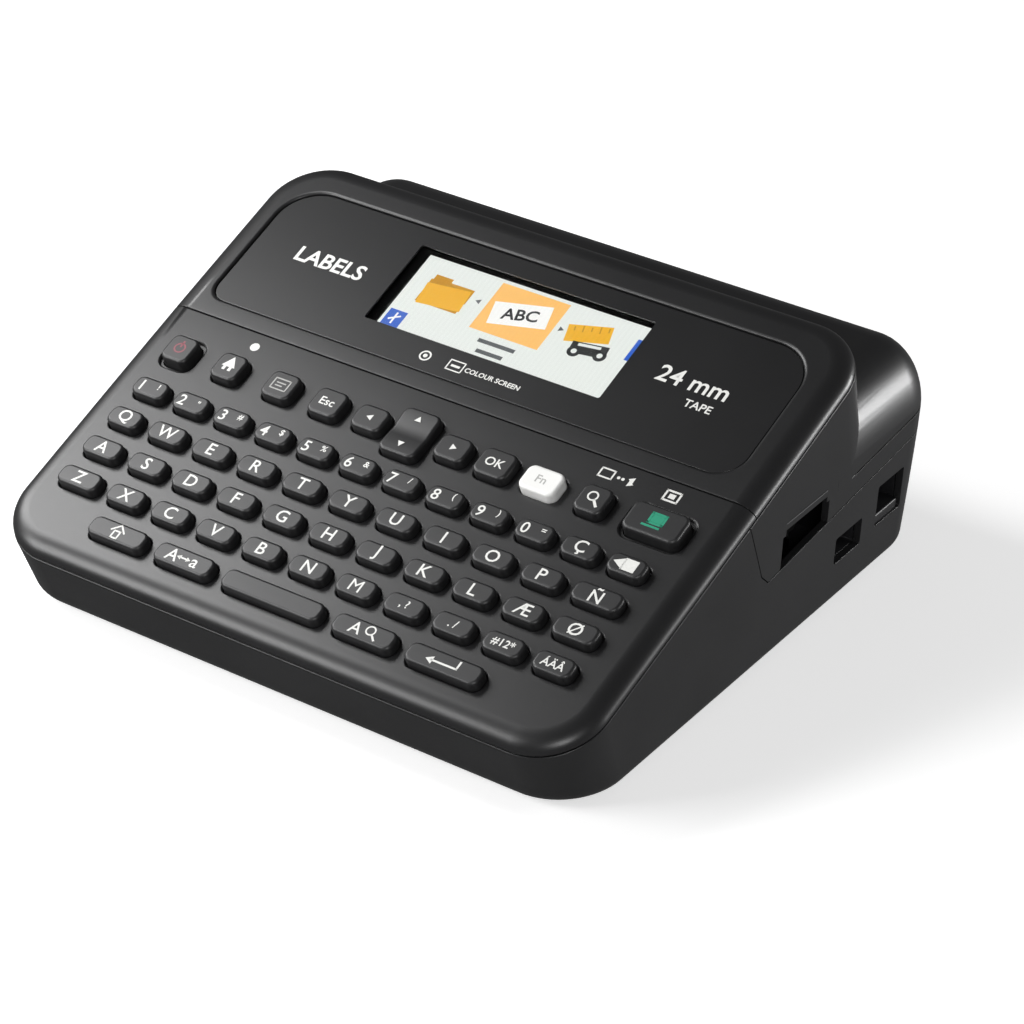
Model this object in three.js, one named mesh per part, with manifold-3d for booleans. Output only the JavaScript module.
// A desktop label maker: a wedge-shaped keyboard and colour screen in front, and a
// hump behind that covers the tape cassette and the cells. Millimetres, +Z up.
// X runs to the right, Y to the rear, and the origin is under the middle of the case.
import * as THREE from "three";
import { mergeVertices } from "three/addons/utils/BufferGeometryUtils.js";
import Module from "manifold-3d";

const wasm = await Module();
wasm.setup();

// ---------------------------------------------------------------- overall sizes
const WIDTH = 201;
const DEPTH = 192;
const HEIGHT = 82;
const FRONT_HEIGHT = 28.4; // key tops, carried forward to the front edge
const HUMP_DEPTH = 41; // from the screen housing's rear edge to the back
const HUMP_HEIGHT = 67;
const FOOT_HEIGHT = 2;
const CORNER_RADIUS = 19;
const REAR_CORNER_RADIUS = 11; // of the case's upright corners at the back
const CROWN_REACH = 19; // how far in from each side the hump starts to round over
const CROWN_FALL = 22; // how far it has fallen at the side
const BACK_REACH = 25; // the same from the back
const BACK_FALL = 23;
const SEAM = { height: 29.5, slope: 0.12 }; // lower edge of the rear housing, along Y
const COVER_EDGE = { height: 37.2, slope: 0.11 }; // lower edge of the back cover
const SEAM_LINE = [[-16.5, 66], [-9.5, 49.5], [-2.7, 33.5]]; // front edge of the rear housing: y, z
const DRAFT = [ // how far the mould draws the walls in, by height above the feet
  { up: 0, side: 4.2, front: 4.5, rear: 5 },
  { up: 3, side: 2.4, front: 1.6, rear: 3.4 },
  { up: 13, side: 1.7, front: 0, rear: 2.6 },
  { up: 28, side: 1, front: 0, rear: 1.2 },
  { up: 42, side: 0.4, front: 0, rear: 0 },
  { up: 58, side: 0, front: 0, rear: 0 },
];
const WALL = 2.2;
const GAP = 0.3; // between pieces that touch

// ---------------------------------------------------------------- deck and keys
const KEY_RISE = 3; // key tops above the deck
const KEY_TRAVEL = 1.2;
const KEY_CLEARANCE = 0.4; // round each key in its hole
const KEY_RADIUS = 2;
const KEY_GAP = 3.8; // between key tops in the letter rows
const KEY_MARGIN_LEFT = 11.5;
const KEY_MARGIN_RIGHT = 14.5;
const ROW_SPACE = 5.4; // between the tops of one row and the next
const PLATE = 2.4; // thickness of the deck
const EDGE_ROLL = 7; // how far in from the side the deck starts to roll over
const EDGE_DROP = 4.5; // how far it has fallen at the side
const KEYBOARD_SHARE = 0.5725; // of the deck's length
const FLANGE = 0.8;
const WEB_HALF_HEIGHT = 2.2;
const FIRST_CAPS = [14.1, 12.7, 11.1]; // first key of the lower, middle and upper letter rows
const PITCHES_ACROSS = 11.1; // letter keys that the key field has room for
const PITCHES_DEEP = 7.19; // rows that the keyboard has room for
const FRONT_SHARES = [1.2, 1.21, 2.07, 1.24, 1.48]; // front row's widths, in letter pitches

// ---------------------------------------------------------------- screen
const PANEL_MARGIN = 8.5; // side edge to the inset panel
const PANEL_MARGIN_FRONT = 6.5;
const PANEL_MARGIN_REAR = 12.5;
const PANEL_RECESS = 1.6;
const PANEL_THICKNESS = 0.6;
const PANEL_RADIUS = 10;
const SCREEN_WIDTH = 81.5;
const SCREEN_HEIGHT = 31;
const SCREEN_CENTRE_X = -1.7;
const WINDOW_OVERLAP = 2;
const WINDOW_THICKNESS = 0.8;
const LCD_THICKNESS = 6;
const LCD_BORDER = 4;

// ---------------------------------------------------------------- boards
const MAT_THICKNESS = 1;
const BOARD_THICKNESS = 1.6;
const BOARD_INSET = 12;

// ---------------------------------------------------------------- tape path
const SLOT_LENGTH = 25;
const SLOT_HEIGHT = 9;
const SLOT_FRONT = 7.5; // y of the slot's front end, from the middle of the case
const SLOT_CHAMFER = 4.7;
const CASSETTE_THICKNESS = 30;
const CASSETTE_WIDTH = 63;
const CASSETTE_WALL = 1.6;
const SPOOL_RADIUS = 16.5;
const RIBBON_RADIUS = 8.5;
const PLATEN_RADIUS = 5.5;
const SHAFT_RADIUS = 1.5;
const SHAFT_CLEARANCE = 0.4;
const CUTTER_TRAVEL = 8;
const GEAR_MODULE = 1;
const GEAR_WIDTH = 5;
const GEAR_BACKLASH = 0.22; // of a tooth's pitch
const PINION_TEETH = 8;
const IDLER_TEETH = 18;
const PLATEN_TEETH = 12;
const RIBBON_TEETH = 22;
const CUTTER_TEETH = 12;
const MOTOR_RADIUS = 10;
const MOTOR_LENGTH = 22;
const CHASSIS_THICKNESS = 1.5;

// ---------------------------------------------------------------- power and sockets
const CELL_RADIUS = 7.1;
const CELL_LENGTH = 49.5;
const CELL_NUB = 1;
const CELL_SPACE = 0.6;
const CELL_FLOOR = 22;
const WELL_WALL = 1.4;
const FRAME_THICKNESS = 1.2;
const WELL_SETBACK = 14; // from the back of the case
const USB_RECESS = { y0: 39.2, y1: 54, z0: 15.4, z1: 24.2 };
const DC_RECESS = { y0: 62.2, y1: 76.8, z0: 16.8, z1: 30.3 };
const SOCKET_DEPTH = 10;
const SOCKET_SETBACK = 5;

// ---------------------------------------------------------------- feet and screws
const FOOT_RADIUS = 6;
const FOOT_POCKET = 0.8;
const SCREW_HEAD_RADIUS = 2.8;
const SCREW_SHANK_RADIUS = 1.3;
const BOSS_WALL = 1.6;

// ---------------------------------------------------------------- back cover's latch
const LATCH_HALF_WIDTH = 13;
const LATCH_LENGTH = 9;
const LATCH_TRAVEL = 2.5;
const LATCH_THICKNESS = 2;
const LATCH_SETBACK = 1.4; // its face below the top of the hump

const FAR = 400; // longer than anything in the model
const SEGMENTS = 3; // half the steps in a quarter turn of the case's corners
const HALF = WIDTH / 2;
const FRONT = -DEPTH / 2;
const REAR = DEPTH / 2;

// ---------------------------------------------------------------- deck frame
// u runs across, v up the slope and n out of the deck; n = 0 is the plane of the key tops.
const RIM = KEY_RISE + EDGE_DROP;
const deckRun = DEPTH - HUMP_DEPTH;
let tilt = 0.37;
for (let pass = 0; pass < 30; pass += 1) {
  const crestDrop = KEY_RISE + 0.134 * EDGE_DROP;
  const rise = HEIGHT - FRONT_HEIGHT + crestDrop * Math.cos(tilt) + 0.5 * EDGE_ROLL * Math.sin(tilt);
  tilt = Math.atan(rise / (deckRun - RIM * Math.sin(tilt)));
}
const V_FRONT = -RIM * Math.tan(tilt);
const V_REAR = (deckRun - RIM * Math.sin(tilt)) / Math.cos(tilt);
const V_SPLIT = V_REAR * KEYBOARD_SHARE;
const WALL_LEAN = THREE.MathUtils.degToRad(12); // of the wall behind the screen, from upright
const REAR_LEAN = Math.tan(tilt - WALL_LEAN);
const deckMatrix = new THREE.Matrix4()
  .makeTranslation(0, FRONT, FRONT_HEIGHT)
  .multiply(new THREE.Matrix4().makeRotationX(tilt));

/** Where the wall behind the screen stands at the given height. */
function rearWall(z) {
  const top = FRONT_HEIGHT + V_REAR * Math.sin(tilt) - RIM * Math.cos(tilt);
  return REAR - HUMP_DEPTH + (top - z) * Math.tan(WALL_LEAN);
}

/** Height of the plane at depth n below the key tops, at the given y. */
function deckHeight(y, n) {
  return FRONT_HEIGHT + (y - FRONT) * Math.tan(tilt) + n / Math.cos(tilt);
}

// ---------------------------------------------------------------- solids
function solid(geometry) {
  const bare = new THREE.BufferGeometry();
  bare.setAttribute("position", geometry.getAttribute("position"));
  if (geometry.index) bare.setIndex(geometry.index);
  const merged = mergeVertices(bare, 1e-4);
  return new wasm.Manifold(
    new wasm.Mesh({
      numProp: 3,
      vertProperties: new Float32Array(merged.attributes.position.array),
      triVerts: new Uint32Array(merged.index.array),
    }),
  );
}

function geometryOf(body) {
  const mesh = body.getMesh();
  const count = mesh.vertProperties.length / mesh.numProp;
  const positions = new Float32Array(count * 3);
  for (let i = 0; i < count; i += 1) {
    positions.set(mesh.vertProperties.subarray(i * mesh.numProp, i * mesh.numProp + 3), i * 3);
  }
  const indexed = new THREE.BufferGeometry();
  indexed.setAttribute("position", new THREE.BufferAttribute(positions, 3));
  indexed.setIndex(new THREE.BufferAttribute(new Uint32Array(mesh.triVerts), 1));
  const geometry = indexed.toNonIndexed();
  geometry.computeVertexNormals();
  return geometry;
}

function union(bodies) {
  return bodies.reduce((whole, body) => whole.add(body));
}

/** A rectangle with round corners, as a shape in its own plane. */
function roundedRect(x0, x1, y0, y1, radius, rearRadius = radius) {
  const widest = Math.min((x1 - x0) / 2 - 0.05, (y1 - y0) / 2 - 0.05);
  const r = Math.max(0.05, Math.min(radius, widest));
  const s = Math.max(0.05, Math.min(rearRadius, widest));
  const shape = new THREE.Shape();
  shape.moveTo(x0 + r, y0);
  shape.lineTo(x1 - r, y0);
  shape.absarc(x1 - r, y0 + r, r, -Math.PI / 2, 0, false);
  shape.lineTo(x1, y1 - s);
  shape.absarc(x1 - s, y1 - s, s, 0, Math.PI / 2, false);
  shape.lineTo(x0 + s, y1);
  shape.absarc(x0 + s, y1 - s, s, Math.PI / 2, Math.PI, false);
  shape.lineTo(x0, y0 + r);
  shape.absarc(x0 + r, y0 + r, r, Math.PI, 1.5 * Math.PI, false);
  return shape;
}

function polygon(points) {
  return new THREE.Shape(points.map(([x, y]) => new THREE.Vector2(x, y)));
}

function extrude(shape, depth, curveSegments = 1, more = {}) {
  return new THREE.ExtrudeGeometry(shape, { depth, bevelEnabled: false, curveSegments, ...more });
}

/** A shape drawn in (y, z), from x0 to x1. */
function alongX(shape, x0, x1, curveSegments = SEGMENTS) {
  const basis = new THREE.Matrix4().makeBasis(
    new THREE.Vector3(0, 1, 0),
    new THREE.Vector3(0, 0, 1),
    new THREE.Vector3(1, 0, 0),
  );
  const geometry = extrude(shape, x1 - x0, curveSegments);
  return solid(geometry.applyMatrix4(basis).translate(x0, 0, 0));
}

/** A shape drawn in (x, z), from y0 to y1. */
function alongY(shape, y0, y1, curveSegments = SEGMENTS) {
  const basis = new THREE.Matrix4().makeBasis(
    new THREE.Vector3(1, 0, 0),
    new THREE.Vector3(0, 0, 1),
    new THREE.Vector3(0, -1, 0),
  );
  const geometry = extrude(shape, y1 - y0, curveSegments);
  return solid(geometry.applyMatrix4(basis).translate(0, y1, 0));
}

/** A shape drawn in (u, v), from depth n0 to n1, in the deck's own frame. */
function slab(shape, n0, n1, curveSegments = 1) {
  return solid(extrude(shape, n1 - n0, curveSegments).translate(0, 0, n0));
}

function box(x0, x1, y0, y1, z0, z1) {
  const geometry = new THREE.BoxGeometry(x1 - x0, y1 - y0, z1 - z0);
  return solid(geometry.translate((x0 + x1) / 2, (y0 + y1) / 2, (z0 + z1) / 2));
}

/** Takes a body from the deck's frame to the case's frame. */
function placed(body) {
  return solid(geometryOf(body).applyMatrix4(deckMatrix));
}

/** A cylinder along X, Y or Z; the other two coordinates are its centre. */
function rod(axis, from, to, centre, radius, sides = 20) {
  const geometry = new THREE.CylinderGeometry(radius, radius, to - from, sides);
  const middle = (from + to) / 2;
  if (axis === "x") geometry.rotateZ(Math.PI / 2).translate(middle, centre[0], centre[1]);
  if (axis === "y") geometry.translate(centre[0], middle, centre[1]);
  if (axis === "z") geometry.rotateX(Math.PI / 2).translate(centre[0], centre[1], middle);
  return solid(geometry);
}

// ---------------------------------------------------------------- case envelope
/** The wedge that carries the deck, grown inwards by inset and roofed by plate. */
function wedge(inset, plate = inset) {
  const shape = roundedRect(
    -HALF + inset,
    HALF - inset,
    V_FRONT + inset,
    V_REAR - inset,
    CORNER_RADIUS - inset,
  );
  const top = -KEY_RISE - plate;
  const reach = 130;
  const geometry = extrude(shape, reach, SEGMENTS, {
    bevelEnabled: true,
    bevelSize: EDGE_ROLL,
    bevelOffset: -EDGE_ROLL,
    bevelThickness: EDGE_DROP,
    bevelSegments: 3,
  });
  geometry.translate(0, 0, top - EDGE_DROP - reach);
  const place = geometry.attributes.position;
  for (let i = 0; i < place.count; i += 1) {
    const below = Math.min(0, place.getZ(i) - (top - EDGE_DROP));
    if (place.getY(i) > V_REAR / 2) place.setY(i, place.getY(i) + REAR_LEAN * below);
  }
  return solid(geometry.applyMatrix4(deckMatrix));
}

/** The hump: one outline seen from the side, cut by one seen from behind. */
function hump(inset) {
  const back = REAR - inset;
  const top = HUMP_HEIGHT - inset;
  const side = new THREE.Shape();
  const start = REAR - HUMP_DEPTH - 24;
  side.moveTo(start, FOOT_HEIGHT);
  side.lineTo(back, FOOT_HEIGHT);
  side.lineTo(back, top - BACK_FALL);
  side.quadraticCurveTo(back - 1.5, top - 1, back - BACK_REACH, top);
  side.lineTo(start + 24, top - 2);
  side.lineTo(start, top - 24);
  const rear = new THREE.Shape();
  const edge = HALF - inset;
  rear.moveTo(-edge, FOOT_HEIGHT);
  rear.lineTo(edge, FOOT_HEIGHT);
  rear.lineTo(edge, top - CROWN_FALL);
  rear.quadraticCurveTo(edge, top, edge - CROWN_REACH, top);
  rear.lineTo(-edge + CROWN_REACH, top);
  rear.quadraticCurveTo(-edge, top, -edge, top - CROWN_FALL);
  return alongX(side, -FAR, FAR, 6).intersect(alongY(rear, -FAR, FAR, 6));
}

/** The outline from above, drawn in towards the bottom as the mould needs. */
function draft(inset) {
  const foot = FOOT_HEIGHT + inset;
  const levels = DRAFT.map(({ up, ...draws }) => {
    return { z: Math.max(foot + Math.min(up, 3), FOOT_HEIGHT + up), ...draws };
  });
  levels.push({ z: HEIGHT + 20, side: 0, front: 0, rear: 0 });
  const corner = CORNER_RADIUS - inset;
  const rear = REAR_CORNER_RADIUS - inset;
  const plan = roundedRect(-HALF + inset, HALF - inset, FRONT + inset, REAR - inset, corner, rear);
  const geometry = extrude(plan, levels.length - 1, SEGMENTS, { steps: levels.length - 1 });
  const place = geometry.attributes.position;
  for (let i = 0; i < place.count; i += 1) {
    const level = levels[Math.round(place.getZ(i))];
    const y = place.getY(i);
    const end = y < 0 ? level.front : level.rear;
    const x = place.getX(i) * (1 - level.side / HALF);
    place.setXYZ(i, x, y * (1 - end / REAR), level.z);
  }
  return solid(geometry);
}

const outerWedge = wedge(0);
const innerWedge = wedge(WALL, PLATE);
const outer = outerWedge.add(hump(0)).intersect(draft(0));
const inner = innerWedge.add(hump(WALL)).intersect(draft(WALL));
const shell = outer.subtract(inner);

/** Half space above (or below) the split between the deck and the case. */
const aboveRim = placed(box(-FAR, FAR, -FAR, FAR, -RIM + GAP / 2, FAR));
const belowRim = placed(box(-FAR, FAR, -FAR, FAR, -FAR, -RIM - GAP / 2));

/** Lower edge of the rear housing's side, which the tape slot stands on. */
function seamHeight(y) {
  return SEAM.height + SEAM.slope * y;
}

/** Lower edge of the back cover. */
function coverEdge(y) {
  return COVER_EDGE.height + COVER_EDGE.slope * y;
}

function rearZone(grow) {
  const line = polygon([
    [SEAM_LINE[0][0] - grow, HEIGHT + 40],
    [SEAM_LINE[0][0] - grow, SEAM_LINE[0][1]],
    [SEAM_LINE[1][0] - grow, SEAM_LINE[1][1]],
    [SEAM_LINE[2][0] - grow, SEAM_LINE[2][1] - grow],
    [1.5 - grow, seamHeight(0) - grow],
    [FAR, seamHeight(FAR) - grow],
    [FAR, seamHeight(FAR) + FAR],
  ]);
  return alongX(line, -FAR, FAR, 2);
}

function coverZone(grow) {
  const start = REAR - HUMP_DEPTH - 12;
  const line = polygon([
    [start, coverEdge(start) - grow],
    [FAR, coverEdge(FAR) - grow],
    [FAR, coverEdge(FAR) + FAR],
    [start, HEIGHT + FAR],
  ]);
  return alongX(line, -FAR, FAR, 2);
}

// ---------------------------------------------------------------- keys
const fieldLeft = -HALF + KEY_MARGIN_LEFT;
const fieldRight = HALF - KEY_MARGIN_RIGHT;
const field = fieldRight - fieldLeft;
const letterPitch = (field + KEY_GAP) / PITCHES_ACROSS;
const rowPitch = (V_SPLIT - 5) / PITCHES_DEEP;
const rowTop = rowPitch - ROW_SPACE;
const firstRow = rowPitch - 1.2;
const functionRow = firstRow + 5.36 * rowPitch;

/** Evenly pitched keys across the whole field. */
function evenRow(v, count, gap) {
  const pitch = (field + gap) / count;
  const keys = [];
  for (let i = 0; i < count; i += 1) {
    const u0 = fieldLeft + i * pitch;
    keys.push({ u0, u1: u0 + pitch - gap, v0: v - rowTop / 2, v1: v + rowTop / 2 });
  }
  return keys;
}

/** Eleven keys: the first has its own width, and the last takes what is left. */
function letterRow(v, firstCap) {
  const keys = [{ u0: fieldLeft, u1: fieldLeft + firstCap, v0: v - rowTop / 2, v1: v + rowTop / 2 }];
  for (let i = 0; i < 10; i += 1) {
    const u0 = fieldLeft + firstCap + KEY_GAP + i * letterPitch;
    const u1 = i < 9 ? u0 + letterPitch - KEY_GAP : fieldRight;
    keys.push({ u0, u1, v0: v - rowTop / 2, v1: v + rowTop / 2 });
  }
  return keys;
}

/** Long keys of the front row, each as wide as the given number of letter pitches. */
function frontRow() {
  const names = ["shift_key", "caps_key", "space_key", "style_key", "enter_key"];
  const widths = FRONT_SHARES.map((share) => share * letterPitch);
  const gap = KEY_GAP + 0.5;
  const total = widths.reduce((sum, width) => sum + width, 0) + gap * (widths.length - 1);
  let u = (fieldLeft + fieldRight) / 2 - 0.5 - total / 2;
  const row = {};
  names.forEach((name, i) => {
    row[name] = { u0: u, u1: u + widths[i], v0: firstRow - rowTop / 2, v1: firstRow + rowTop / 2 };
    u += widths[i] + gap;
  });
  return row;
}

/** Control keys: centre in letter pitches from the field's left end, width and height. */
function controlRow() {
  const tall = rowTop + 3;
  const keys = {
    power_key: [0.29, 0.58, tall],
    home_key: [1.41, 0.58, tall],
    file_key: [2.58, 0.62, tall],
    escape_key: [3.62, 0.64, tall],
    left_key: [4.55, 0.64, tall - 1],
    up_down_rocker: [5.4, 0.77, tall + 7],
    right_key: [6.32, 0.64, tall - 1],
    ok_key: [7.2, 0.69, tall],
    function_key: [8.16, 0.74, tall - 1],
    preview_key: [9.21, 0.58, tall],
    print_key: [10.46, 1.1, tall + 0.6],
  };
  const row = {};
  for (const [name, [centre, width, height]] of Object.entries(keys)) {
    const u = fieldLeft + centre * letterPitch;
    const half = (width * letterPitch) / 2;
    const [v0, v1] = [functionRow - height / 2, functionRow + height / 2];
    row[name] = { u0: u - half, u1: u + half, v0, v1 };
  }
  return row;
}

const rows = {
  lower_letter_row: letterRow(firstRow + rowPitch, FIRST_CAPS[0]),
  middle_letter_row: letterRow(firstRow + 2 * rowPitch, FIRST_CAPS[1]),
  upper_letter_row: letterRow(firstRow + 3 * rowPitch, FIRST_CAPS[2]),
  number_row: evenRow(firstRow + 4.02 * rowPitch, 12, KEY_GAP - 0.4),
};
const singles = { ...frontRow(), ...controlRow() };
const flangeTop = -KEY_RISE - PLATE - GAP;
const keyFoot = flangeTop - FLANGE;

/** A key's outline: a rectangle with its corners cut off. */
function keyShape(key, grow) {
  const cut = KEY_RADIUS * 0.7;
  const [u0, u1, v0, v1] = [key.u0 - grow, key.u1 + grow, key.v0 - grow, key.v1 + grow];
  return polygon([
    [u0 + cut, v0],
    [u1 - cut, v0],
    [u1, v0 + cut],
    [u1, v1 - cut],
    [u1 - cut, v1],
    [u0 + cut, v1],
    [u0, v1 - cut],
    [u0, v0 + cut],
  ]);
}

/** A cap that stands on a flange under the deck. */
function keyCap(key) {
  return slab(keyShape(key, 0), keyFoot, 0);
}

/** A single key: its flange is a little wider than its hole, so it can't fall out. */
function singleKey(key) {
  const lip = KEY_CLEARANCE + 0.5;
  const third = (key.v1 - key.v0) / 3;
  const flange = box(key.u0 - lip, key.u1 + lip, key.v0 + third, key.v1 - third, keyFoot, flangeTop);
  return keyCap(key).add(flange);
}

/** A row of caps on one springy web under the deck. */
function keyRow(keys) {
  const v = (keys[0].v0 + keys[0].v1) / 2;
  const from = keys[0].u0 + 1;
  const to = keys.at(-1).u1 - 1;
  const web = box(from, to, v - WEB_HALF_HEIGHT, v + WEB_HALF_HEIGHT, keyFoot, flangeTop);
  return union([web, ...keys.map(keyCap)]);
}

function keyHoles() {
  const all = [...Object.values(rows).flat(), ...Object.values(singles)];
  return placed(union(all.map((key) => slab(keyShape(key, KEY_CLEARANCE), -RIM - 6, KEY_RISE))));
}

// ---------------------------------------------------------------- screws
const screwSpots = [
  [-HALF + 21.5, firstRow],
  [HALF - 22.5, firstRow],
  [-HALF + 17, V_SPLIT - 5.5],
  [HALF - 17, V_SPLIT - 5.5],
].map(([u, v]) => new THREE.Vector3(u, v, -RIM).applyMatrix4(deckMatrix));
const screwHeadTop = FOOT_HEIGHT + WALL + 1.6;
const postTop = FOOT_HEIGHT + WALL + 4.6;

function screwPosts() {
  return screwSpots.map((spot) =>
    rod("z", FOOT_HEIGHT + 0.2, postTop, [spot.x, spot.y], SCREW_HEAD_RADIUS + GAP + BOSS_WALL, 12),
  );
}

function screwHoles() {
  return screwSpots.flatMap((spot) => [
    rod("z", -1, screwHeadTop + GAP, [spot.x, spot.y], SCREW_HEAD_RADIUS + GAP, 12),
    rod("z", -1, postTop + 1, [spot.x, spot.y], SCREW_SHANK_RADIUS + GAP, 12),
  ]);
}

/** Bosses that hang from the keyboard cover and take the screws. */
function coverBosses() {
  const bosses = screwSpots.map((spot) =>
    rod("z", postTop + GAP, HEIGHT, [spot.x, spot.y], SCREW_SHANK_RADIUS + GAP + BOSS_WALL, 12),
  );
  const bores = screwSpots.map((spot) =>
    rod("z", postTop, postTop + 5, [spot.x, spot.y], SCREW_SHANK_RADIUS + GAP, 12),
  );
  return union(bosses).intersect(wedge(WALL / 2, PLATE / 2)).subtract(union(bores));
}

function screw(spot) {
  const head = rod("z", screwHeadTop - 2, screwHeadTop, [spot.x, spot.y], SCREW_HEAD_RADIUS, 12);
  const shank = rod("z", screwHeadTop - 1, postTop + 4, [spot.x, spot.y], SCREW_SHANK_RADIUS, 12);
  const { x, y } = spot;
  const slot = box(x - 0.5, x + 0.5, y - 2, y + 2, screwHeadTop - 3, screwHeadTop - 1.2);
  return head.add(shank).subtract(slot);
}

// ---------------------------------------------------------------- feet
const footSpots = [
  [-HALF + 26, FRONT + 30],
  [HALF - 26, FRONT + 30],
  [-HALF + 26, REAR - 32],
  [HALF - 26, REAR - 32],
];

function foot(spot) {
  return rod("z", 0, FOOT_HEIGHT + FOOT_POCKET - GAP, spot, FOOT_RADIUS, 16);
}

function footPockets() {
  return footSpots.map((spot) => rod("z", -1, FOOT_HEIGHT + FOOT_POCKET, spot, FOOT_RADIUS + GAP, 16));
}

// ---------------------------------------------------------------- tape path
const slotRear = SLOT_FRONT + SLOT_LENGTH;
const tapeZ = seamHeight(slotRear) + SLOT_HEIGHT * 0.25;
const cassetteFront = SLOT_FRONT - 2.3;
const cassetteRear = cassetteFront + CASSETTE_THICKNESS;
const bladeX = HALF - 6.2;
const platenAxis = [bladeX - 10.4, tapeZ - PLATEN_RADIUS - 0.3];
const cassetteRight = platenAxis[0] - PLATEN_RADIUS - 1;
const cassetteLeft = cassetteRight - CASSETTE_WIDTH;
const cassetteFloor = FOOT_HEIGHT + WALL + 1.5;
const screenFoot = -KEY_RISE - PANEL_RECESS - GAP - WINDOW_THICKNESS - 1.5 - LCD_THICKNESS;
const cassetteTop = deckHeight(cassetteFront, screenFoot) - 1.5;
const spoolAxis = [cassetteLeft + SPOOL_RADIUS + 4, (cassetteFloor + cassetteTop) / 2];
const gearRear = cassetteFront - 4;
const gearFront = gearRear - GEAR_WIDTH;

function meshDistance(teethA, teethB) {
  return (GEAR_MODULE * (teethA + teethB)) / 2;
}

/** A point at the given distance and bearing (degrees from +X towards +Z). */
function bearing(from, distance, degrees) {
  const angle = THREE.MathUtils.degToRad(degrees);
  return [from[0] + distance * Math.cos(angle), from[1] + distance * Math.sin(angle)];
}

const IDLER_BEARING = 205;
const PINION_BEARING = 165;
const RIBBON_BEARING = 105;
const idlerAxis = bearing(platenAxis, meshDistance(PLATEN_TEETH, IDLER_TEETH), IDLER_BEARING);
const pinionAxis = bearing(idlerAxis, meshDistance(IDLER_TEETH, PINION_TEETH), PINION_BEARING);
const ribbonAxis = bearing(idlerAxis, meshDistance(IDLER_TEETH, RIBBON_TEETH), RIBBON_BEARING);

/** Outline of a spur gear whose tooth (or gap, if turned half a pitch) faces the bearing. */
function gearShape(centre, teeth, facing) {
  const pitchRadius = (GEAR_MODULE * teeth) / 2;
  const tip = pitchRadius + 0.8 * GEAR_MODULE;
  const root = pitchRadius - 1.15 * GEAR_MODULE;
  const pitchAngle = (2 * Math.PI) / teeth;
  const foot = (0.5 - GEAR_BACKLASH / 2) * 0.62;
  const crown = (0.5 - GEAR_BACKLASH) * 0.32;
  const start = THREE.MathUtils.degToRad(facing);
  const points = [];
  for (let i = 0; i < teeth; i += 1) {
    const middle = start + i * pitchAngle;
    for (const [share, radius] of [[-foot, root], [-crown, tip], [crown, tip], [foot, root]]) {
      const angle = middle + share * pitchAngle;
      points.push([centre[0] + radius * Math.cos(angle), centre[1] + radius * Math.sin(angle)]);
    }
  }
  return polygon(points);
}

/** Facing that puts gear b's gap where gear a's tooth points. */
function meshedFacing(degreesFromA, teethB) {
  return degreesFromA + 180 + 180 / teethB;
}

const idlerFacing = PINION_BEARING;
const platenTurn = ((IDLER_BEARING - 180 - idlerFacing) * IDLER_TEETH) / PLATEN_TEETH;
const ribbonTurn = ((idlerFacing - RIBBON_BEARING) * IDLER_TEETH) / RIBBON_TEETH;
const gearFacings = {
  pinion: meshedFacing(PINION_BEARING, PINION_TEETH),
  platen: IDLER_BEARING + platenTurn + 180 / PLATEN_TEETH,
  ribbon: RIBBON_BEARING + 180 - ribbonTurn + 180 / RIBBON_TEETH,
};

function gear(centre, teeth, facing, bore) {
  const body = alongY(gearShape(centre, teeth, facing), gearFront, gearRear, 1);
  return bore ? body.subtract(rod("y", gearFront - 1, gearRear + 1, centre, bore, 16)) : body;
}

function platenRoller() {
  const sleeve = rod("y", SLOT_FRONT - 0.5, slotRear + 0.5, platenAxis, PLATEN_RADIUS, 24);
  const shaft = rod("y", gearFront - 1, slotRear + 3, platenAxis, SHAFT_RADIUS, 16);
  return sleeve.add(shaft);
}

function chassisPlate() {
  const rear = cassetteFront - 0.7;
  const plate = alongY(
    roundedRect(pinionAxis[0] - 9, bladeX - 2.2, cassetteFloor, cassetteTop - 2, 3),
    rear - CHASSIS_THICKNESS,
    rear,
  );
  const holes = [platenAxis, idlerAxis, ribbonAxis].map((axis) =>
    rod("y", rear - 5, rear + 5, axis, SHAFT_RADIUS + SHAFT_CLEARANCE, 16),
  );
  return plate.subtract(union(holes));
}

function feedMotor() {
  const shaftSide = gearFront - 1.5;
  const can = rod("y", shaftSide - MOTOR_LENGTH, shaftSide, pinionAxis, MOTOR_RADIUS, 24);
  const bore = rod("y", shaftSide - 8, shaftSide + 1, pinionAxis, SHAFT_RADIUS, 12);
  return can.subtract(bore);
}

function motorPinion() {
  const shaft = rod("y", gearFront - 7, gearRear, pinionAxis, SHAFT_RADIUS - SHAFT_CLEARANCE, 12);
  return gear(pinionAxis, PINION_TEETH, gearFacings.pinion).add(shaft);
}

function idlerGear() {
  const shaft = rod("y", gearRear - 1, cassetteFront - 0.8, idlerAxis, SHAFT_RADIUS, 12);
  return gear(idlerAxis, IDLER_TEETH, idlerFacing).add(shaft);
}

/** The ribbon gear's shaft reaches through the chassis into the take-up spool. */
function ribbonGear() {
  const shaft = rod("y", gearRear - 1, cassetteRear - 6, ribbonAxis, SHAFT_RADIUS, 12);
  return gear(ribbonAxis, RIBBON_TEETH, gearFacings.ribbon).add(shaft);
}

function platenGear() {
  return gear(platenAxis, PLATEN_TEETH, gearFacings.platen, SHAFT_RADIUS + GAP);
}

/** A cored roll in the cassette, open to the rear. */
function spool(axis, radius, bore) {
  const from = cassetteFront + CASSETTE_WALL + 1;
  const to = cassetteRear - 1.5;
  const roll = rod("y", from, to, axis, radius, 28);
  return roll.subtract(rod("y", from - 1, to + 1, axis, bore, 16));
}

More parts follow.
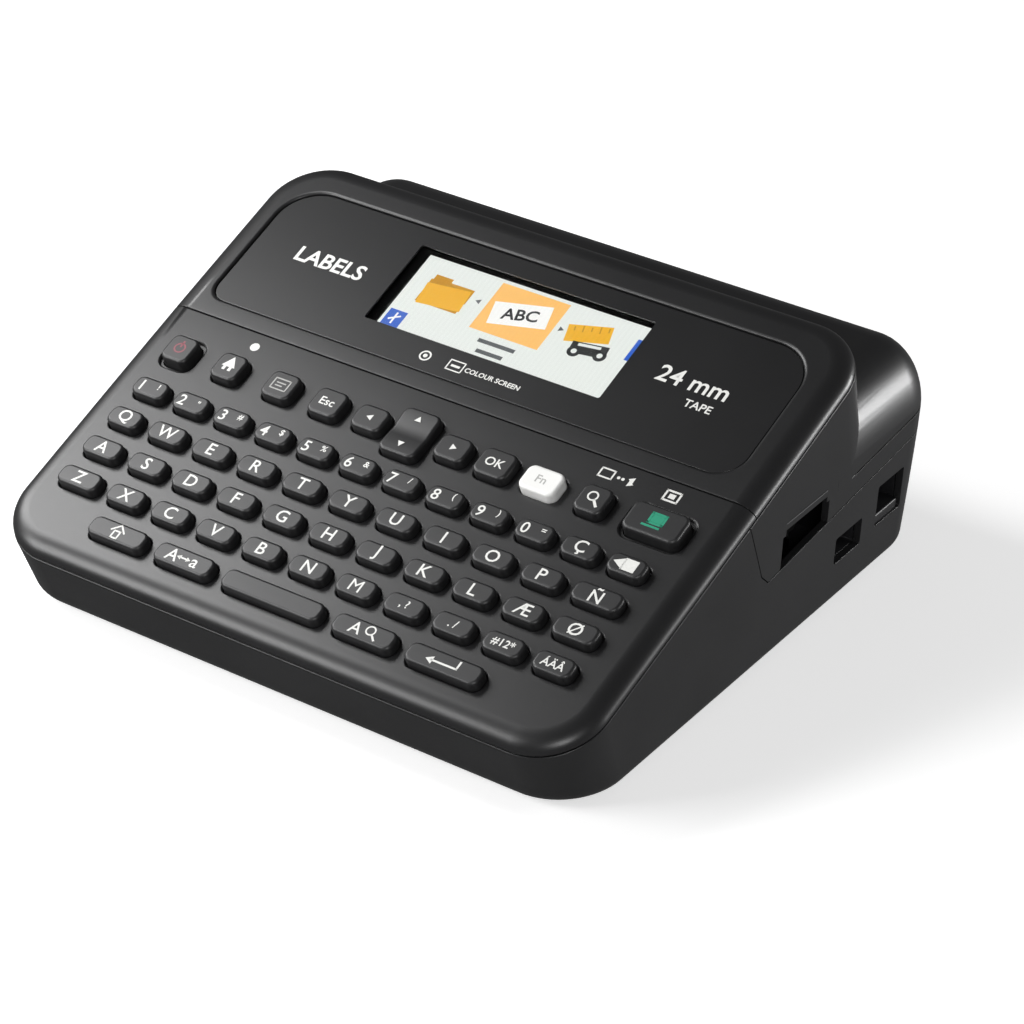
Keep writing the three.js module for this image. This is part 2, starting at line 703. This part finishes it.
function cassetteShell() {
  const body = alongY(
    roundedRect(cassetteLeft, cassetteRight, cassetteFloor, cassetteTop, 4),
    cassetteFront,
    cassetteRear,
    3,
  );
  const floor = cassetteFront + CASSETTE_WALL;
  const cavities = [
    rod("y", floor, FAR, spoolAxis, SPOOL_RADIUS + 0.8, 28),
    rod("y", floor, FAR, ribbonAxis, RIBBON_RADIUS + 0.8, 20),
    rod("y", cassetteFront - 1, FAR, ribbonAxis, SHAFT_RADIUS + SHAFT_CLEARANCE + 0.4, 16),
  ];
  const hub = rod("y", cassetteFront + 0.5, cassetteRear - 2.5, spoolAxis, 4.5, 16);
  return body.subtract(union(cavities)).add(hub);
}

function printHead() {
  const left = platenAxis[0] - 3.4;
  const right = platenAxis[0] + 3.4;
  const foot = tapeZ + 0.5;
  const top = cassetteTop - 3;
  const profile = polygon([
    [platenAxis[0] - 0.8, foot],
    [platenAxis[0] + 0.8, foot],
    [right, foot + 3],
    [right, top],
    [left, top],
    [left, foot + 3],
  ]);
  return alongY(profile, SLOT_FRONT, slotRear);
}

// ---------------------------------------------------------------- cutter
const bladeFoot = tapeZ + 3.5;
const rackFront = SLOT_FRONT - 1.2;
const cutterRadius = (GEAR_MODULE * CUTTER_TEETH) / 2;
const bladeTop = bladeFoot + CUTTER_TRAVEL + 6;
const cutterAxis = [rackFront - cutterRadius - 0.9 * GEAR_MODULE, bladeFoot + 2];

/** A blade with a rack on its front edge, which the cutter pinion drives down. */
function cutterBlade() {
  const edge = slotRear + 0.8;
  const outline = [
    [rackFront, bladeFoot],
    [edge, bladeFoot + 1.8],
    [edge, bladeTop],
    [rackFront, bladeTop],
  ];
  const blade = alongX(polygon(outline), bladeX - 0.6, bladeX + 0.6);
  const pitch = Math.PI * GEAR_MODULE;
  const teeth = [];
  const count = Math.floor((bladeTop - bladeFoot - 1) / pitch);
  for (let i = 0; i < count; i += 1) {
    const z = cutterAxis[1] + pitch * (i - 0.5);
    const tooth = [
      [rackFront + 0.1, z - 0.75],
      [rackFront + 0.1, z + 0.75],
      [rackFront - 0.8 * GEAR_MODULE, z + 0.3],
      [rackFront - 0.8 * GEAR_MODULE, z - 0.3],
    ];
    if (z - 0.8 > bladeFoot && z + 0.8 < bladeTop) {
      teeth.push(alongX(polygon(tooth), bladeX - 0.6, bladeX + 0.6));
    }
  }
  return blade.add(union(teeth));
}

function cutterPinion() {
  const shape = gearShape(cutterAxis, CUTTER_TEETH, 0);
  const wheel = alongX(shape, bladeX - 1.5, bladeX + 1.5, 1);
  return wheel.add(rod("x", bladeX - 9, bladeX + 1.5, cutterAxis, SHAFT_RADIUS, 12));
}

// ---------------------------------------------------------------- cells
const wellRight = cassetteLeft - 2.5;
const cellRowPitch = 2 * CELL_RADIUS + CELL_SPACE;
const wellRear = REAR - WELL_SETBACK;
const wellFront = wellRear - 3 * cellRowPitch - 2 * WELL_WALL;
const cellZ = CELL_FLOOR + WELL_WALL + GAP + CELL_RADIUS;
const wellLeft = wellRight - 2 * (CELL_LENGTH + CELL_NUB + CELL_SPACE) - 2 * WELL_WALL;

function cell(column, row) {
  const x0 = wellLeft + WELL_WALL + CELL_SPACE / 2 + column * (CELL_LENGTH + CELL_NUB + CELL_SPACE);
  const y = wellFront + WELL_WALL + cellRowPitch * (row + 0.5);
  const facing = row % 2 === 0;
  const from = facing ? x0 : x0 + CELL_NUB;
  const can = rod("x", from, from + CELL_LENGTH, [y, cellZ], CELL_RADIUS, 20);
  const nub = rod("x", x0, x0 + CELL_LENGTH + CELL_NUB, [y, cellZ], 2.6, 12);
  return can.add(nub);
}

/** The open tray that holds the cells, and the frame that carries it in the rear housing. */
function compartment() {
  const frameTop = coverEdge(REAR - HUMP_DEPTH) - 2 * GAP;
  const frame = box(-FAR, FAR, REAR - HUMP_DEPTH, FAR, frameTop - FRAME_THICKNESS, frameTop);
  const block = box(wellLeft, wellRight, wellFront, wellRear, CELL_FLOOR, frameTop);
  const tray = block.intersect(draft(WALL + GAP));
  const hollow = box(
    wellLeft + WELL_WALL,
    wellRight - WELL_WALL,
    wellFront + WELL_WALL,
    wellRear - WELL_WALL,
    CELL_FLOOR + WELL_WALL,
    FAR,
  );
  const cassetteWay = box(wellRight + 1, HALF - 11, -FAR, REAR - 12, -FAR, FAR);
  const inside = innerWedge.add(hump(WALL)).intersect(draft(WALL - 0.4));
  return frame.subtract(cassetteWay).add(tray).intersect(inside).subtract(hollow);
}

// ---------------------------------------------------------------- sockets
/** Outer surface of the side wall near the given height. */
function wallFace(z) {
  const share = Math.min(1, Math.max(0, (z - FOOT_HEIGHT - 13) / 15));
  return HALF - 3.8 + 1.6 * share;
}

function recess(r) {
  return box(HALF - 12, HALF + 5, r.y0, r.y1, r.z0, r.z1);
}

function socket(r, margin) {
  const face = wallFace((r.z0 + r.z1) / 2) - SOCKET_SETBACK;
  return box(face - SOCKET_DEPTH, face, r.y0 + margin, r.y1 - margin, r.z0 + margin, r.z1 - margin);
}

function usbSocket() {
  const r = USB_RECESS;
  const face = wallFace(r.z0) - SOCKET_SETBACK;
  const mouth = box(face - 7, face + 1, r.y0 + 4, r.y1 - 3, r.z0 + 3, r.z1 - 2.8);
  return socket(r, 1.6).subtract(mouth);
}

function dcSocket() {
  const r = DC_RECESS;
  const face = wallFace(r.z0) - SOCKET_SETBACK;
  const centre = [(r.y0 + r.y1) / 2, (r.z0 + r.z1) / 2 + 1];
  const bore = rod("x", face - 8, face + 3, centre, 4.4, 20);
  const pin = rod("x", face - 9, face - 0.5, centre, 0.9, 10);
  return socket(r, 1.2).subtract(bore).add(pin);
}

// ---------------------------------------------------------------- screen stack
const panelV0 = V_SPLIT + PANEL_MARGIN_FRONT;
const panelV1 = V_REAR - PANEL_MARGIN_REAR;
const screenV = (panelV0 + panelV1) / 2 + 2.4;
const screenBox = {
  u0: SCREEN_CENTRE_X - SCREEN_WIDTH / 2,
  u1: SCREEN_CENTRE_X + SCREEN_WIDTH / 2,
  v0: screenV - SCREEN_HEIGHT / 2,
  v1: screenV + SCREEN_HEIGHT / 2,
};
const recessFloor = -KEY_RISE - PANEL_RECESS;

function screenShape(grow) {
  const b = screenBox;
  return roundedRect(b.u0 - grow, b.u1 + grow, b.v0 - grow, b.v1 + grow, 0.6);
}

function panelShape(shrink) {
  const side = HALF - PANEL_MARGIN - shrink;
  return roundedRect(-side, side - 2.5, panelV0 + shrink, panelV1 - shrink, PANEL_RADIUS - shrink);
}

function displayCover() {
  const ahead = placed(box(-FAR, FAR, V_SPLIT + GAP / 2, FAR, -FAR, FAR));
  const opening = slab(screenShape(WINDOW_OVERLAP + GAP), -RIM - 9, KEY_RISE);
  const pocket = slab(panelShape(0), recessFloor, KEY_RISE, 2);
  return shell.intersect(aboveRim).intersect(ahead).subtract(placed(pocket.add(opening)));
}

function displayPanel() {
  const from = recessFloor + GAP;
  const plate = slab(panelShape(GAP), from, from + PANEL_THICKNESS, 2);
  return plate.subtract(slab(screenShape(0), from - 1, from + 5));
}

function screenWindow() {
  return slab(screenShape(WINDOW_OVERLAP), recessFloor - WINDOW_THICKNESS, recessFloor);
}

function lcdModule() {
  const top = recessFloor - WINDOW_THICKNESS - 1.2;
  const b = screenBox;
  const edge = LCD_BORDER;
  return box(b.u0 - edge, b.u1 + edge, b.v0 - edge, b.v1 + edge, top - LCD_THICKNESS, top);
}

// ---------------------------------------------------------------- casing
function keyboardCover() {
  const behind = placed(box(-FAR, FAR, -FAR, V_SPLIT - GAP / 2, -FAR, FAR));
  const skin = shell.intersect(aboveRim).intersect(behind);
  return skin.add(coverBosses()).subtract(keyHoles());
}

function lowerCase() {
  const tub = shell.intersect(belowRim).subtract(rearZone(GAP));
  const cuts = [...screwHoles(), ...footPockets(), recess(USB_RECESS), recess(DC_RECESS)];
  const footPads = footSpots.map((spot) =>
    rod("z", FOOT_HEIGHT + 0.2, FOOT_HEIGHT + FOOT_POCKET + WALL, spot, FOOT_RADIUS + GAP + WALL, 16),
  );
  return union([tub, ...screwPosts(), ...footPads]).subtract(union(cuts));
}

function tapeSlot() {
  const mouth = polygon([
    [SLOT_FRONT, seamHeight(SLOT_FRONT) - 3],
    [slotRear, seamHeight(slotRear) - 3],
    [slotRear, seamHeight(slotRear) + SLOT_HEIGHT - 1.5],
    [SLOT_FRONT, seamHeight(slotRear) + SLOT_HEIGHT - 1.5],
  ]);
  const ceiling = seamHeight(slotRear) + SLOT_HEIGHT - 1.6;
  const slope = polygon([
    [HALF - WALL - 1.5, ceiling],
    [HALF + 2, ceiling],
    [HALF + 2, ceiling + SLOT_CHAMFER + 3.4],
  ]);
  return alongX(mouth, HALF - 8, HALF + 5, 1).add(alongY(slope, SLOT_FRONT + 1.5, slotRear - 1.5, 1));
}

function rearHousing() {
  const skin = shell.intersect(belowRim).intersect(rearZone(0));
  const lid = coverZone(GAP).subtract(outerWedge);
  return skin.subtract(lid).add(compartment()).subtract(tapeSlot());
}

const latchTop = HUMP_HEIGHT - LATCH_SETBACK;
const latchFront = rearWall(latchTop - LATCH_THICKNESS) + 2.2;

function latchPocket() {
  const top = HUMP_HEIGHT + 1;
  return box(
    -LATCH_HALF_WIDTH - GAP,
    LATCH_HALF_WIDTH + GAP,
    latchFront - 8,
    latchFront + LATCH_LENGTH + LATCH_TRAVEL + GAP,
    top - 6,
    top + 3,
  );
}

function backCover() {
  const skin = shell.intersect(coverZone(0)).subtract(wedge(-GAP));
  const bodies = skin.subtract(latchPocket()).decompose();
  return bodies.sort((a, b) => b.volume() - a.volume())[0];
}

function coverLatch() {
  const plate = box(
    -LATCH_HALF_WIDTH,
    LATCH_HALF_WIDTH,
    latchFront,
    latchFront + LATCH_LENGTH,
    latchTop - LATCH_THICKNESS,
    latchTop,
  );
  const ridge = box(-9, 9, latchFront + 4, latchFront + 6, latchTop - 1, latchTop + 1.2);
  return plate.add(ridge);
}

// ---------------------------------------------------------------- boards
/** A sheet under the keys, whose corners are notched where the bosses pass. */
function sheet(n0, n1) {
  const middle = deckRun / 2 + FRONT;
  const notches = screwSpots.map((spot) => {
    const reach = SCREW_SHANK_RADIUS + GAP + BOSS_WALL + 0.8;
    const [x0, x1] = spot.x < 0 ? [-FAR, spot.x + reach] : [spot.x - reach, FAR];
    const [y0, y1] = spot.y < middle ? [-FAR, spot.y + reach] : [spot.y - reach, FAR];
    return box(x0, x1, y0, y1, -1, HEIGHT);
  });
  const shape = roundedRect(-HALF + BOARD_INSET, HALF - BOARD_INSET, 4, V_SPLIT - 2, 6);
  return placed(slab(shape, n0, n1)).subtract(union(notches));
}

const matTop = keyFoot - KEY_TRAVEL - 0.4;
const boardTop = matTop - MAT_THICKNESS - 0.4;

// ---------------------------------------------------------------- assembly
const part = new THREE.Group();
const deck = new THREE.Group(); // what is drawn in (u, v, n)
deck.rotation.x = tilt;
deck.position.set(0, FRONT, FRONT_HEIGHT);
part.add(deck);

function add(group, name, body, color, roughness = 0.55, metalness = 0) {
  const material = new THREE.MeshStandardMaterial({ color, roughness, metalness });
  const mesh = new THREE.Mesh(geometryOf(body), material);
  mesh.name = name;
  group.add(mesh);
}

const CHARCOAL = 0x2b2b2d;
const KEY_BLACK = 0x232325;
const STEEL = 0xb4b7ba;
const ACETAL = 0xe4e2da;

add(part, "lower_case", lowerCase(), CHARCOAL);
add(part, "keyboard_cover", keyboardCover(), CHARCOAL);
add(part, "display_cover", displayCover(), CHARCOAL);
add(deck, "display_panel", displayPanel(), 0x323234, 0.4);
add(deck, "screen_window", screenWindow(), 0x20242a, 0.08);
add(deck, "lcd_module", lcdModule(), 0xdfe6e2, 0.3);
add(part, "rear_housing", rearHousing(), CHARCOAL);
add(part, "back_cover", backCover(), CHARCOAL);
add(part, "cover_latch", coverLatch(), CHARCOAL);
footSpots.forEach((spot, i) => add(part, `rubber_foot_${i + 1}`, foot(spot), 0x1a1a1a, 0.9));
for (const [name, key] of Object.entries(singles)) {
  add(deck, name, singleKey(key), name === "function_key" ? 0xf2f2f0 : KEY_BLACK, 0.6);
}
for (const [name, keys] of Object.entries(rows)) add(deck, name, keyRow(keys), KEY_BLACK, 0.6);
add(part, "key_mat", sheet(matTop - MAT_THICKNESS, matTop), 0x8f9498, 0.8);
add(part, "main_board", sheet(boardTop - BOARD_THICKNESS, boardTop), 0x1f5f3a, 0.5);
add(part, "cassette_shell", cassetteShell(), 0xd9d9d6, 0.5);
add(part, "tape_spool", spool(spoolAxis, SPOOL_RADIUS, 5.2), 0xf4f4f0, 0.6);
add(part, "ribbon_spool", spool(ribbonAxis, RIBBON_RADIUS, SHAFT_RADIUS + GAP), 0x1b1b1d, 0.5);
add(part, "chassis_plate", chassisPlate(), STEEL, 0.35, 1);
add(part, "platen_roller", platenRoller(), 0x202020, 0.85);
add(part, "platen_gear", platenGear(), ACETAL, 0.5);
add(part, "idler_gear", idlerGear(), ACETAL, 0.5);
add(part, "ribbon_gear", ribbonGear(), ACETAL, 0.5);
add(part, "feed_motor", feedMotor(), STEEL, 0.4, 1);
add(part, "motor_pinion", motorPinion(), 0xc9a24a, 0.4, 1);
add(part, "print_head", printHead(), STEEL, 0.45, 1);
add(part, "cutter_blade", cutterBlade(), STEEL, 0.25, 1);
add(part, "cutter_pinion", cutterPinion(), ACETAL, 0.5);
add(part, "usb_socket", usbSocket(), STEEL, 0.35, 1);
add(part, "dc_socket", dcSocket(), 0x1c1c1e, 0.5);
for (let i = 0; i < 6; i += 1) {
  add(part, `aa_cell_${i + 1}`, cell(i % 2, Math.floor(i / 2)), 0x3b5f8a, 0.4);
}
screwSpots.forEach((spot, i) => add(part, `case_screw_${i + 1}`, screw(spot), STEEL, 0.35, 1));

export default part;
